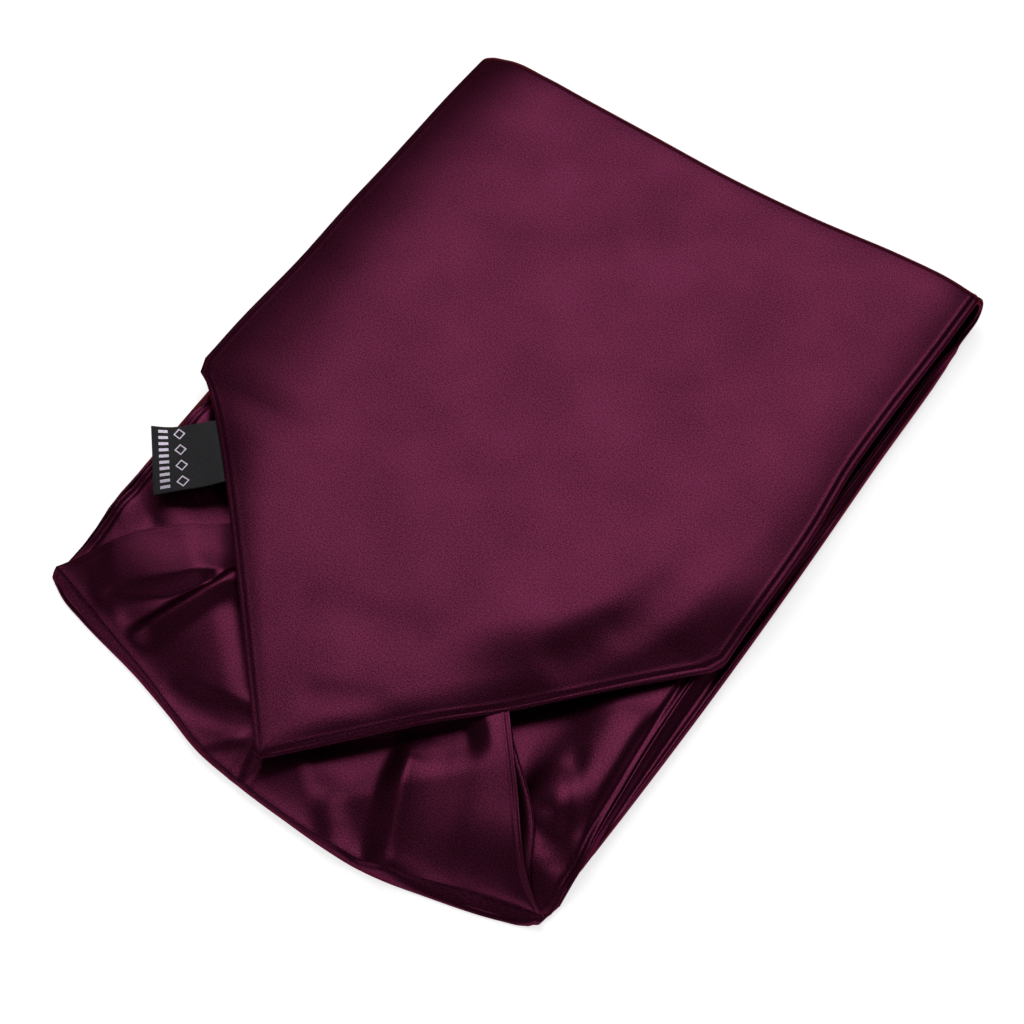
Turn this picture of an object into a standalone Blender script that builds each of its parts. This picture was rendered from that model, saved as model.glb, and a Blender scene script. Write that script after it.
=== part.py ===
"""Silk cravat, folded flat, with one pointed blade on top.

The cravat is one long band of satin in two plies, a face and a backing, seamed at the edges like a
bag. It lies folded in three. From the top: the front blade with its point, the far fold, the under
stretch that lies on the table, the near fold, and the pleated fan that narrows to the neckband.
The neckband and the other blade are folded away inside.

X runs across the band, Y from the near fold to the far fold, Z up. The origin is the middle of the
underside. Metres.
"""

import math
from collections import namedtuple

import bmesh
import bpy
import numpy as np
from mathutils import Vector

MM = 0.001

# Driving dimensions
PLY = 1.0 * MM  # one layer of satin with its interlining
SEAM = 0.3 * MM  # between two plies
HALF_WIDTH = 78.0 * MM
TIP_X, TIP_Y = 1.9 * MM, -103.9 * MM
TIP_HALF_WIDTH = 1.0 * MM  # the point is turned a little blunt
LEFT_BOW = 3.3 * MM  # how far the left side of the point curves in
SHOULDER_Y = -24.0 * MM
FACE_GAP = 0.7 * MM  # where one stretch of the face ends on the underside and the next begins
BACK_GAP = 1.3 * MM
FAR_START, NEAR_START = 104.0 * MM, -96.0 * MM  # near the two ends of the under stretch
NECK_Y = -20.3 * MM  # where the fan narrows to the neckband
ROLL_DOWN_FROM = 0.72  # of the left half of the front blade, where it starts to roll down
LEFT_BEND = 0.12  # of its whole drop, the part that comes before that

# Grid counts
FRONT_ACROSS, POINT_ROWS, BODY_ROWS, FAR_ROWS = 20, 9, 8, 8
UNDER_ACROSS, UNDER_ROWS = 22, 14
ROW_EASE = 0.11  # draws the rows of the under stretch towards the two folds
FAN_ACROSS, NEAR_ROWS, FAN_ROWS = 36, 7, 10

SATIN = (0.105, 0.021, 0.048)
LABEL_BLACK = (0.012, 0.011, 0.013)

# The two folds at places across the band: how far out each stands, its depth, and its height
FarFold = namedtuple("FarFold", "x front depth")
FAR_FOLD = [
    FarFold(-80.5, 107.6, 4.6),
    FarFold(-78.0, 109.9, 5.2),
    FarFold(-72.0, 111.5, 6.0),
    FarFold(-58.0, 110.6, 6.2),
    FarFold(-24.0, 109.2, 6.2),
    FarFold(4.0, 108.2, 6.2),
    FarFold(24.5, 108.6, 6.2),
    FarFold(54.0, 110.9, 6.2),
    FarFold(66.0, 111.3, 6.2),
    FarFold(80.0, 110.6, 5.6),
]
NearFold = namedtuple("NearFold", "x front depth height")
NEAR_FOLD = [
    NearFold(-74.0, -91.4, 3.0, 5.8),
    NearFold(-67.0, -94.8, 3.8, 6.6),
    NearFold(-59.0, -97.0, 4.4, 6.8),
    NearFold(-36.5, -101.8, 4.4, 6.7),
    NearFold(-24.5, -105.1, 4.4, 6.7),
    NearFold(-12.5, -108.7, 4.4, 6.6),
    NearFold(-2.0, -110.1, 4.4, 6.6),
    NearFold(13.0, -111.3, 4.4, 6.7),
    NearFold(41.5, -111.4, 4.4, 6.8),
    NearFold(51.5, -109.2, 4.4, 6.7),
    NearFold(70.0, -103.9, 3.6, 6.2),
    NearFold(75.5, -101.6, 3.0, 5.8),
    NearFold(79.0, -98.6, 2.4, 5.2),
]

# Sections across the front blade: its edges and its heights at the left edge, middle and right edge
FrontSection = namedtuple("FrontSection", "y left left_z middle_z right right_z")
FRONT_SECTIONS = [
    FrontSection(112.0, -79.4, 7.6, 13.0, 78.6, 12.3),
    FrontSection(90.0, -79.8, 8.1, 12.9, 78.3, 12.3),
    FrontSection(60.0, -79.6, 8.1, 12.7, 77.4, 12.0),
    FrontSection(44.0, -79.9, 8.0, 12.6, 77.4, 11.8),
    FrontSection(22.0, -79.5, 8.0, 12.5, 79.1, 11.6),
    FrontSection(-13.0, -80.1, 8.4, 12.4, 79.0, 11.3),
    FrontSection(-24.0, -79.4, 8.8, 12.3, 78.6, 11.2),
    FrontSection(-60.0, -42.6, 10.7, 11.6, 43.0, 10.9),
    FrontSection(-85.0, -17.0, 10.2, 10.6, 19.5, 10.3),
    FrontSection(-104.0, 0.9, 9.5, 9.5, 2.9, 9.5),
]

# Soft troughs (below zero) and ridges (above zero): a line in plan, its height and half its width
Crease = namedtuple("Crease", "x0 y0 x1 y1 height half_width")
FRONT_CREASES = [
    Crease(66.0, 92.0, 71.0, -8.0, -0.7, 9.0),
    Crease(71.0, -8.0, 52.0, -42.0, -0.6, 9.0),
    Crease(-30.0, -28.0, 10.0, -62.0, -0.4, 16.0),
    Crease(-10.0, 70.0, 20.0, 10.0, 0.35, 24.0),
]
FAN_CREASES = [
    Crease(-47.0, -95.0, -34.5, -66.0, 1.2, 6.0),
    Crease(-57.0, -84.0, -34.0, -64.5, -1.4, 5.5),
    Crease(-30.0, -98.0, -14.0, -78.0, -1.0, 8.0),
    Crease(-4.0, -107.0, 4.0, -92.0, -0.8, 4.5),
    Crease(17.0, -103.0, 8.0, -76.0, 0.6, 8.0),
    Crease(36.0, -108.0, 20.5, -66.0, 0.9, 5.0),
    Crease(41.5, -110.0, 25.0, -62.0, -1.7, 5.0),
    Crease(54.0, -102.0, 35.0, -64.0, 0.7, 9.0),
]
UNDER_CREASES = [
    Crease(64.0, -38.0, 40.0, -62.0, 0.8, 6.0),
    Crease(72.0, -58.0, 52.0, -80.0, 0.9, 5.0),
    Crease(-72.0, -64.0, -50.0, -48.0, -0.7, 6.0),
]

# Sections across the under stretch: where its rolled edges stand out to, how far the seams lean in
# and how far they are rolled up, from 0 for flat
UnderSection = namedtuple("UnderSection", "y left left_lean left_curl right right_lean right_curl")
UNDER_SECTIONS = [
    UnderSection(112.0, -77.5, 0.0, 0.1, 79.0, 0.0, 0.1),
    UnderSection(104.0, -77.0, 0.0, 0.3, 79.5, 0.0, 0.3),
    UnderSection(88.0, -76.2, 0.2, 0.9, 80.1, 0.0, 0.9),
    UnderSection(52.0, -75.8, 0.4, 1.0, 80.1, 0.0, 1.0),
    UnderSection(18.0, -75.5, 0.4, 1.0, 80.5, 1.2, 1.0),
    UnderSection(-26.0, -75.2, 0.3, 1.0, 80.4, 4.0, 1.0),
    UnderSection(-50.0, -74.4, 0.2, 0.9, 79.9, 2.6, 1.0),
    UnderSection(-66.0, -73.3, 0.0, 0.6, 79.4, 0.9, 1.0),
    UnderSection(-76.0, -72.6, 0.0, 0.2, 79.1, 0.3, 0.85),
    UnderSection(-88.0, -73.2, 0.0, 0.0, 79.0, 0.0, 0.3),
    UnderSection(-94.0, -74.0, 0.0, 0.0, 78.7, 0.0, 0.0),
    UnderSection(-98.0, -74.0, 0.0, 0.0, 77.4, 0.0, 0.0),
]
ROLL = 2.55 * MM  # radius of the rolled edge
ROLL_TURN = math.radians(160)
ROLL_SHARE = 0.1  # of each half of the width, the part that rolls up
ROLL_COLUMNS = 4
FLATTEST_CURL = 0.01
HALF_ROLLED_INSET = 1.1 * MM  # the backing ends this much further in where the edge is half rolled
ROLL_WIDEST = 0.56  # the part of the roll past which its seam leans in
INNER_SLOPE = 15.0 * MM  # width over which the backing comes down from the seam
CREASE_FADE = 12.0 * MM  # length over which its ridges flatten under the hidden layers

# The pleated fan in plan, from the near fold to the neck, and its height
FanSection = namedtuple("FanSection", "share left left_y right right_y height")
FAN_SECTIONS = [
    FanSection(0.0, -73.7, -88.0, 78.0, -97.4, 6.7),
    FanSection(0.18, -67.5, -79.4, 67.5, -90.5, 6.8),
    FanSection(0.36, -60.6, -70.6, 55.5, -76.5, 7.0),
    FanSection(0.55, -48.0, -60.6, 42.0, -60.6, 7.2),
    FanSection(0.78, -33.0, -43.0, 27.0, -41.0, 7.2),
    FanSection(1.0, -26.0, -20.3, 19.0, -20.3, 7.0),
]

# The folded-away layers
HIDDEN_LEFT, HIDDEN_RIGHT = -57.0 * MM, 60.0 * MM
HIDDEN_NEAR, HIDDEN_FAR = -20.0 * MM, 98.0 * MM
HIDDEN_BOTTOM, HIDDEN_TOP = 2.75 * MM, 9.3 * MM
HIDDEN_LAYERS = 3
HIDDEN_ROUND = 0.22  # of a layer's height, the part rounded off above and below
HIDDEN_GROOVE = 1.2 * MM
HIDDEN_CORNER = 14.0 * MM

# The woven tab in the seam of the point
LABEL_ALONG, LABEL_OUT = 19.5 * MM, 17.5 * MM
LABEL_THICK = 0.9 * MM
LABEL_PLACE = 0.215  # its middle, as a share of the way from the shoulder to the tip
LABEL_BELOW = 0.7 * MM  # it comes out of the seam this far below the top of the cloth
LABEL_DROOP, LABEL_BOW = 2.4 * MM, 0.3 * MM
LABEL_LIFT = 2.2 * MM  # its upper free corner curls up
LABEL_COLUMNS, LABEL_ROWS = 4, 6


def column(rows, along, value):
    """A function that runs smoothly through one column of a table of millimetres, read along another."""
    ordered = sorted(rows, key=lambda row: getattr(row, along))
    knots = np.array([getattr(row, along) for row in ordered], float)
    values = np.array([getattr(row, value) for row in ordered], float)
    slopes = np.gradient(values, knots)

    def read(at):
        at = min(max(at, knots[0]), knots[-1])
        low = min(max(int(np.searchsorted(knots, at)) - 1, 0), len(knots) - 2)
        step = knots[low + 1] - knots[low]
        f = (at - knots[low]) / step
        rise = values[low + 1] - values[low]
        leaving = (slopes[low] * step - rise) * f * (1 - f) ** 2
        arriving = (slopes[low + 1] * step - rise) * f**2 * (1 - f)
        return values[low] + rise * f + leaving - arriving

    return read


def in_metres(rows, along, value):
    """The same, with both columns in millimetres read and given in metres."""
    read = column(rows, along, value)
    return lambda at: read(at / MM) * MM


far_front = in_metres(FAR_FOLD, "x", "front")
far_depth = in_metres(FAR_FOLD, "x", "depth")
near_front = in_metres(NEAR_FOLD, "x", "front")
near_depth = in_metres(NEAR_FOLD, "x", "depth")
near_height = in_metres(NEAR_FOLD, "x", "height")
front_left = in_metres(FRONT_SECTIONS, "y", "left")
front_right = in_metres(FRONT_SECTIONS, "y", "right")
front_left_z = in_metres(FRONT_SECTIONS, "y", "left_z")
front_middle_z = in_metres(FRONT_SECTIONS, "y", "middle_z")
front_right_z = in_metres(FRONT_SECTIONS, "y", "right_z")
under_left = in_metres(UNDER_SECTIONS, "y", "left")
under_right = in_metres(UNDER_SECTIONS, "y", "right")
under_left_lean = in_metres(UNDER_SECTIONS, "y", "left_lean")
under_right_lean = in_metres(UNDER_SECTIONS, "y", "right_lean")
left_curl = column(UNDER_SECTIONS, "y", "left_curl")
right_curl = column(UNDER_SECTIONS, "y", "right_curl")


def far_crest(x):
    """Where the far fold begins, on top and underneath."""
    return far_front(x) - far_depth(x)


def near_crest(x):
    return near_front(x) + near_depth(x)


def under_roll(side, y):
    """How far an edge of the under stretch turns up at a place along it, and its radius there."""
    read = right_curl if side > 0 else left_curl
    curl = min(max(read(y / MM), FLATTEST_CURL), 1.0)
    return ROLL_TURN * curl, ROLL / curl


def bump(distance, half_width):
    """1 on the line, falling smoothly to 0 at half_width."""
    f = min(abs(distance) / half_width, 1.0)
    return 0.5 + 0.5 * math.cos(math.pi * f)


def relief(creases, x, y):
    """The height that a table of creases adds at a place in plan."""
    total = 0.0
    for crease in creases:
        ax, ay = crease.x0 * MM, crease.y0 * MM
        dx, dy = crease.x1 * MM - ax, crease.y1 * MM - ay
        length = math.hypot(dx, dy)
        along = ((x - ax) * dx + (y - ay) * dy) / length
        off = ((x - ax) * dy - (y - ay) * dx) / length
        past = max(-along, along - length, 0.0)
        half_width = crease.half_width * MM
        ends = bump(past, 2 * half_width)
        total += crease.height * MM * bump(off, half_width) * ends
    return total


def eased(share):
    """Grid columns drawn a little towards both edges, where the cloth rolls."""
    return share * (1.28 - 0.28 * share * share) if abs(share) < 1 else share


def front_height(share, y):
    """The top of the front blade: crowned in the middle, rolled down at the left edge."""
    left_z, middle_z, right_z = front_left_z(y), front_middle_z(y), front_right_z(y)
    if share < 0:
        roll = max((-share - ROLL_DOWN_FROM) / (1 - ROLL_DOWN_FROM), 0.0)
        drop = LEFT_BEND * share**2 + (1 - LEFT_BEND) * roll**2
        return middle_z - (middle_z - left_z) * drop
    return middle_z - (middle_z - right_z) * share**3


def front_top(share, y):
    """A point on the top of the front blade."""
    half = 0.5 * (front_right(y) - front_left(y))
    x = 0.5 * (front_right(y) + front_left(y)) + share * half
    if y < SHOULDER_Y:
        down = (SHOULDER_Y - y) / (SHOULDER_Y - TIP_Y)
        half = HALF_WIDTH + (TIP_HALF_WIDTH - HALF_WIDTH) * down
        middle = 0.5 * (front_right(SHOULDER_Y) + front_left(SHOULDER_Y)) * (1 - down) + TIP_X * down
        x = middle + share * half
        x += LEFT_BOW * math.sin(math.pi * math.sqrt(down)) * max(-share, 0.0)
    return x, y, front_height(share, y) + relief(FRONT_CREASES, x, y)


def front_point(across, row):
    """The face of the front blade: rows up the point, up the body, then round the far fold."""
    share = eased(across)
    if row <= POINT_ROWS:
        return front_top(share, TIP_Y + (SHOULDER_Y - TIP_Y) * row / POINT_ROWS)
    x_guess = share * HALF_WIDTH
    crest = far_crest(x_guess)
    if row <= POINT_ROWS + BODY_ROWS:
        up = (row - POINT_ROWS) / BODY_ROWS
        return front_top(share, SHOULDER_Y + (crest - SHOULDER_Y) * up)
    turn = math.pi * (row - POINT_ROWS - BODY_ROWS) / FAR_ROWS
    x, _, top = front_top(share, crest)
    foot_x, _, foot_z = under_outer(share, crest)
    down = 0.5 - 0.5 * math.cos(turn)
    return (
        x + (foot_x - x) * down,
        crest + far_depth(x_guess) * math.sin(turn),
        top + (foot_z - top) * down,
    )


def under_share(across):
    """Grid columns of the under stretch, close together where its edges roll up."""
    column_at = (1 - abs(across)) * UNDER_ACROSS / 2
    flat_columns = UNDER_ACROSS / 2 - ROLL_COLUMNS
    if column_at <= ROLL_COLUMNS:
        share = 1 - ROLL_SHARE * column_at / ROLL_COLUMNS
    else:
        share = (1 - ROLL_SHARE) * (1 - (column_at - ROLL_COLUMNS) / flat_columns)
    return math.copysign(share, across)


def under_outer(share, y):
    """The face of the under stretch: flat on the table, with its two edges rolled up."""
    side = 1.0 if share > 0 else -1.0
    stands_out = under_right(y) if share > 0 else -under_left(y)
    lean = under_right_lean(y) if share > 0 else under_left_lean(y)
    turn, radius = under_roll(side, y)
    flat = stands_out - radius * math.sin(min(turn, math.pi / 2))
    away = abs(share)
    if away <= 1 - ROLL_SHARE:
        return side * flat * away / (1 - ROLL_SHARE), y, 0.0
    rolled = (away - 1 + ROLL_SHARE) / ROLL_SHARE
    over = max(rolled - ROLL_WIDEST, 0.0) / (1 - ROLL_WIDEST)
    x = flat + radius * math.sin(turn * rolled) - lean * over * over
    return side * x, y, radius * (1 - math.cos(turn * rolled))


def under_rows(x_at, row, gap):
    """The place along the band of a row of the under stretch. x_at gives its x at a place along."""
    start_x, end_x = x_at(FAR_START), x_at(NEAR_START)
    start = far_crest(start_x) - gap
    end = near_crest(end_x) + gap
    along = row / UNDER_ROWS
    along -= ROW_EASE * math.sin(2 * math.pi * along)
    return start + (end - start) * along


def under_face_point(across, row):
    share = under_share(across)
    return under_outer(share, under_rows(lambda y: under_outer(share, y)[0], row, FACE_GAP))


def under_seam(side, y):
    """Where the backing of the under stretch ends: just inside the rolled edge of the face."""
    x, _, z = under_outer(side, y)
    turn, radius = under_roll(side, y)
    half_rolled = math.sin(math.pi * turn / ROLL_TURN)
    seam_x = abs(x) - PLY * math.sin(turn) - 2 * SEAM - HALF_ROLLED_INSET * half_rolled
    bend = seam_x - abs(under_outer(side * (1 - ROLL_SHARE), y)[0])
    inside = max(bend, 0.0) / (radius - PLY)
    wall_top = radius - (radius - PLY) * math.sqrt(max(1 - inside * inside, 0.0))
    return seam_x, max(z - SEAM, wall_top + SEAM + PLY)


def under_back_point(across, row):
    """The backing of the under stretch: it comes down from the two seams onto the face."""
    share = under_share(-across)
    side = math.copysign(1.0, share)
    y = under_rows(lambda at: under_seam(side, at)[0] * share, row, BACK_GAP)
    seam_x, seam_z = under_seam(side, y)
    rest = 2 * PLY + SEAM
    lifted = max(seam_z - rest, 0.0) * bump(seam_x * (1 - abs(share)), INNER_SLOPE)
    x = seam_x * share
    clear = 1 - bump(min(y - HIDDEN_NEAR, 0.0), CREASE_FADE)
    return x, y, rest + lifted + max(relief(UNDER_CREASES, x, y), 0.0) * clear


def fan_edges(share):
    """The ends of one line across the fan: left x, left y, right x, right y and height."""
    names = ("left", "left_y", "right", "right_y", "height")
    return [column(FAN_SECTIONS, "share", name)(share) * MM for name in names]


def fan_point(across, row):
    """The face of the fan: rows round the near fold from its foot, then on to the neck."""
    share = (across + 1) / 2
    left, _, right, _, _ = fan_edges(0.0)
    x = left + (right - left) * share
    crest = near_crest(x)
    if row <= NEAR_ROWS:
        turn = math.pi * row / NEAR_ROWS
        top = near_height(x) + relief(FAN_CREASES, x, crest)
        return x, crest - near_depth(x) * math.sin(turn), top * (0.5 - 0.5 * math.cos(turn))
    up = (row - NEAR_ROWS) / FAN_ROWS
    left, left_y, right, right_y, height = fan_edges(up)
    x_here = left + (right - left) * share
    straight_y = left_y + (right_y - left_y) * share
    y_here = crest + (NECK_Y - crest) * up
    edge = abs(across) ** 3 * (1 - up) ** 0.5
    y_here += (straight_y - y_here) * edge
    height += (near_height(x) - height) * (1 - up) ** 3
    return x_here, y_here, height + relief(FAN_CREASES, x_here, y_here)


def sheet_mesh(name, across, rows, place):
    """A grid, each of whose points is taken to its place on the folded cloth."""
    shape = bmesh.new()
    bmesh.ops.create_grid(shape, x_segments=across, y_segments=rows, size=1.0)
    for vert in shape.verts:
        vert.co = place(vert.co.x, (vert.co.y + 1) / 2 * rows)
    shape.normal_update()
    mesh = bpy.data.meshes.new(name)
    shape.to_mesh(mesh)
    shape.free()
    return mesh


def moved_in(mesh, name, depth):
    """A copy of a sheet with its points moved in from the face, along their normals."""
    shape = bmesh.new()
    shape.from_mesh(mesh)
    shape.normal_update()
    places = [vert.co - vert.normal * depth for vert in shape.verts]
    for vert, place in zip(shape.verts, places):
        vert.co = place
    inner = bpy.data.meshes.new(name)
    shape.to_mesh(inner)
    shape.free()
    return inner


def material(name, colour, roughness):
    made = bpy.data.materials.new(name)
    made.use_nodes = True
    shader = made.node_tree.nodes["Principled BSDF"]
    shader.inputs["Base Color"].default_value = (*colour, 1.0)
    shader.inputs["Roughness"].default_value = roughness
    shader.inputs["Metallic"].default_value = 0.0
    return made


def add_piece(name, mesh, finish, wall=None):
    """An object in the cravat's collection. A wall thickens the sheet inwards from its face."""
    piece = bpy.data.objects.new(name, mesh)
    mesh.materials.append(finish)
    mesh.shade_smooth()
    mesh.set_sharp_from_angle(angle=math.radians(50))
    cravat.objects.link(piece)
    if wall:
        thick = piece.modifiers.new("wall", "SOLIDIFY")
        thick.thickness = wall
        thick.offset = -1.0


def hidden_layers_mesh():
    """The neckband and the other blade: one rounded block whose sides show its layers."""
    shape = bmesh.new()
    size = (HIDDEN_RIGHT - HIDDEN_LEFT, HIDDEN_FAR - HIDDEN_NEAR, HIDDEN_TOP - HIDDEN_BOTTOM)
    middle = (
        (HIDDEN_LEFT + HIDDEN_RIGHT) / 2,
        (HIDDEN_NEAR + HIDDEN_FAR) / 2,
        (HIDDEN_BOTTOM + HIDDEN_TOP) / 2,
    )
    bmesh.ops.create_cube(shape, size=1.0)
    bmesh.ops.scale(shape, vec=size, verts=shape.verts)
    bmesh.ops.translate(shape, vec=middle, verts=shape.verts)
    upright = [edge for edge in shape.edges if edge.verts[0].co.xy == edge.verts[1].co.xy]
    bmesh.ops.bevel(
        shape, geom=upright, offset=HIDDEN_CORNER, affect="EDGES", segments=5, profile=0.5, material=-1
    )
    layer = size[2] / HIDDEN_LAYERS
    for level in range(HIDDEN_LAYERS):
        for share in (0.0, HIDDEN_ROUND, 1 - HIDDEN_ROUND):
            height = HIDDEN_BOTTOM + (level + share) * layer
            if level or share:
                bmesh.ops.bisect_plane(
                    shape,
                    geom=shape.verts[:] + shape.edges[:] + shape.faces[:],
                    plane_co=(0, 0, height),
                    plane_no=(0, 0, 1),
                )
    for vert in shape.verts:
        place = (vert.co.z - HIDDEN_BOTTOM) / layer
        if abs(place - round(place)) < HIDDEN_ROUND / 2:
            vert.co.x = middle[0] + (vert.co.x - middle[0]) * (1 - 2 * HIDDEN_GROOVE / size[0])
            vert.co.y = middle[1] + (vert.co.y - middle[1]) * (1 - 2 * HIDDEN_GROOVE / size[1])
    mesh = bpy.data.meshes.new("hidden_layers")
    shape.to_mesh(mesh)
    shape.free()
    return mesh


def label_mesh():
    """A flat tab from the seam of the point, drooping a little to its free end."""
    root_y = SHOULDER_Y + (TIP_Y - SHOULDER_Y) * LABEL_PLACE
    upper = Vector(front_top(-1.0, root_y + LABEL_ALONG / 3))
    lower = Vector(front_top(-1.0, root_y - LABEL_ALONG / 3))
    root = (upper + lower) / 2
    along = (upper - lower).normalized()
    outward = Vector((0.0, 0.0, 1.0)).cross(along).normalized()

    def place(across, row):
        share = row / LABEL_ROWS
        point = root + along * (across * LABEL_ALONG / 2)
        point += outward * (2 * SEAM + LABEL_OUT * share)
        point.z += LABEL_BOW * math.sin(math.pi * share) - LABEL_BELOW - LABEL_DROOP * share**1.5
        point.z += LABEL_LIFT * share**2 * (across + 1) / 2
        return point

    return sheet_mesh("care_label", LABEL_COLUMNS, LABEL_ROWS, place)


for old in list(bpy.data.objects):
    bpy.data.objects.remove(old, do_unlink=True)
cravat = bpy.data.collections.new("silk_cravat")
bpy.context.scene.collection.children.link(cravat)

satin = material("plum_satin", SATIN, 0.42)
woven = material("black_woven_tape", LABEL_BLACK, 0.7)

front_rows = POINT_ROWS + BODY_ROWS + FAR_ROWS
front_mesh = sheet_mesh("front_face", FRONT_ACROSS, front_rows, front_point)
add_piece("front_face", front_mesh, satin, PLY)
add_piece("front_back", moved_in(front_mesh, "front_back", PLY + SEAM), satin, PLY)

under_mesh = sheet_mesh("under_face", UNDER_ACROSS, UNDER_ROWS, under_face_point)
backing_mesh = sheet_mesh("under_back", UNDER_ACROSS, UNDER_ROWS, under_back_point)
add_piece("under_face", under_mesh, satin, PLY)
add_piece("under_back", backing_mesh, satin, PLY)

fan_mesh = sheet_mesh("fan_face", FAN_ACROSS, NEAR_ROWS + FAN_ROWS, fan_point)
add_piece("fan_face", fan_mesh, satin, PLY)
add_piece("fan_back", moved_in(fan_mesh, "fan_back", PLY + SEAM), satin, PLY)

add_piece("hidden_layers", hidden_layers_mesh(), satin)
add_piece("care_label", label_mesh(), woven, LABEL_THICK)
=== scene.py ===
import bisect
import math
from collections import namedtuple

import bmesh
import bpy
import numpy as np
from mathutils import Matrix, Vector, noise


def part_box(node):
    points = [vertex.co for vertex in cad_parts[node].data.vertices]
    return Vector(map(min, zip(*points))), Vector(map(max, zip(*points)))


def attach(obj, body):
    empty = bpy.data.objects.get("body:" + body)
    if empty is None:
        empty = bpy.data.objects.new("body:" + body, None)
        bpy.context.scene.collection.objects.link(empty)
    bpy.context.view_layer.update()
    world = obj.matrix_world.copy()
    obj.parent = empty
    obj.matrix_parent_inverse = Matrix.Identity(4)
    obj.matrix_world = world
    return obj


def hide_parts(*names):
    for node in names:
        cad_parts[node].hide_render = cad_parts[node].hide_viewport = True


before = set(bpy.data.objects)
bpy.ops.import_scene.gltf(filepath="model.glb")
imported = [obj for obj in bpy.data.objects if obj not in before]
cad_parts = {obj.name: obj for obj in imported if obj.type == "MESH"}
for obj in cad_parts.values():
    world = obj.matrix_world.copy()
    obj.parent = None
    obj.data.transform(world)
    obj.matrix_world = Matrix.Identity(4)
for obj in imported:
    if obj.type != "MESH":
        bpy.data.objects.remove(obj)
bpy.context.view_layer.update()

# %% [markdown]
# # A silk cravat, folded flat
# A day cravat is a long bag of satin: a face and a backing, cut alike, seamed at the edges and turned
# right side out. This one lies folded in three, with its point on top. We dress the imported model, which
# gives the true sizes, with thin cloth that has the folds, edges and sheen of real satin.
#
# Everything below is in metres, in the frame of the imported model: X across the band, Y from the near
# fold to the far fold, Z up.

MM = 0.001

# %% [markdown]
# ## The camera
# A product photograph is taken from a fixed place with one lens. We could nudge a camera by eye, but
# the cravat's own straight edges give its place: the two long edges are parallel and the point is
# square, so azimuth, elevation and distance follow, and the lens from the object's size in the frame.

# %% Camera
CAMERA_AZIMUTH = math.radians(34.153)
CAMERA_ELEVATION = math.radians(57.861)
CAMERA_DISTANCE = 0.60
CAMERA_AIM = Vector((0.0099, -0.0100, 0.0))
LENS_MM = 83.28

towards_camera = Vector((
    math.sin(CAMERA_AZIMUTH) * math.cos(CAMERA_ELEVATION),
    -math.cos(CAMERA_AZIMUTH) * math.cos(CAMERA_ELEVATION),
    math.sin(CAMERA_ELEVATION),
))
camera_data = bpy.data.cameras.new("camera")
camera_data.lens = LENS_MM
camera_data.sensor_width = 36.0
camera = bpy.data.objects.new("camera", camera_data)
camera.location = CAMERA_AIM + towards_camera * CAMERA_DISTANCE
camera.rotation_euler = towards_camera.to_track_quat("Z", "Y").to_euler()
bpy.context.scene.collection.objects.link(camera)
bpy.context.scene.camera = camera
print("camera at", [round(value, 3) for value in camera.location])

# %% [markdown]
# ## Sizes of the folded band
# The cloth follows the same sections as the solids: a row for each place along the band, read smoothly
# in between. Tables of a few measured sections are easier to check and to change than a mesh pushed
# about by hand.

# %% Tables of sections, in millimetres
HALF_WIDTH = 78.0 * MM
TIP_X, TIP_Y = 1.9 * MM, -103.9 * MM
TIP_HALF_WIDTH = 1.0 * MM
SHOULDER_Y = -24.0 * MM
LEFT_BOW = 3.3 * MM  # how far the left side of the point curves in
NECK_Y = -20.3 * MM
TWO_PLIES = 1.85 * MM  # from the outside of the face to the outside of the backing

FarFold = namedtuple("FarFold", "x front depth")
FAR_FOLD = [
    FarFold(-80.5, 107.4, 3.6),
    FarFold(-78.0, 109.6, 3.8),
    FarFold(-72.0, 111.1, 4.2),
    FarFold(-58.0, 110.1, 4.3),
    FarFold(-24.0, 108.7, 4.3),
    FarFold(4.0, 107.7, 4.3),
    FarFold(24.5, 108.1, 4.3),
    FarFold(54.0, 110.4, 4.3),
    FarFold(66.0, 110.8, 4.3),
    FarFold(80.0, 110.2, 4.0),
]
NearFold = namedtuple("NearFold", "x front depth height")
NEAR_FOLD = [
    NearFold(-74.0, -91.0, 0.9, 2.2),
    NearFold(-67.0, -94.4, 1.0, 2.3),
    NearFold(-59.0, -96.6, 1.0, 2.4),
    NearFold(-36.5, -101.4, 1.0, 2.5),
    NearFold(-24.5, -104.7, 1.0, 2.5),
    NearFold(-12.5, -108.3, 1.0, 2.5),
    NearFold(-2.0, -109.7, 1.0, 2.5),
    NearFold(13.0, -110.9, 1.1, 2.6),
    NearFold(41.5, -111.0, 1.1, 2.6),
    NearFold(51.5, -108.8, 1.1, 2.6),
    NearFold(70.0, -103.7, 1.1, 2.7),
    NearFold(75.5, -101.5, 1.1, 2.7),
    NearFold(79.0, -98.5, 1.1, 2.7),
]
FrontSection = namedtuple("FrontSection", "y left middle_z right")
FRONT_SECTIONS = [
    FrontSection(112.0, -79.4, 13.0, 78.6),
    FrontSection(90.0, -79.8, 12.9, 78.3),
    FrontSection(60.0, -79.6, 12.7, 77.4),
    FrontSection(44.0, -79.9, 12.6, 77.4),
    FrontSection(22.0, -79.5, 12.5, 79.1),
    FrontSection(-13.0, -80.1, 12.4, 79.0),
    FrontSection(-24.0, -79.4, 12.3, 78.6),
    FrontSection(-60.0, -42.6, 11.6, 43.0),
    FrontSection(-85.0, -17.0, 10.6, 19.5),
    FrontSection(-104.0, 0.9, 9.5, 2.9),
]
UnderSection = namedtuple("UnderSection", "y left left_lean left_curl right right_lean right_curl")
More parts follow.
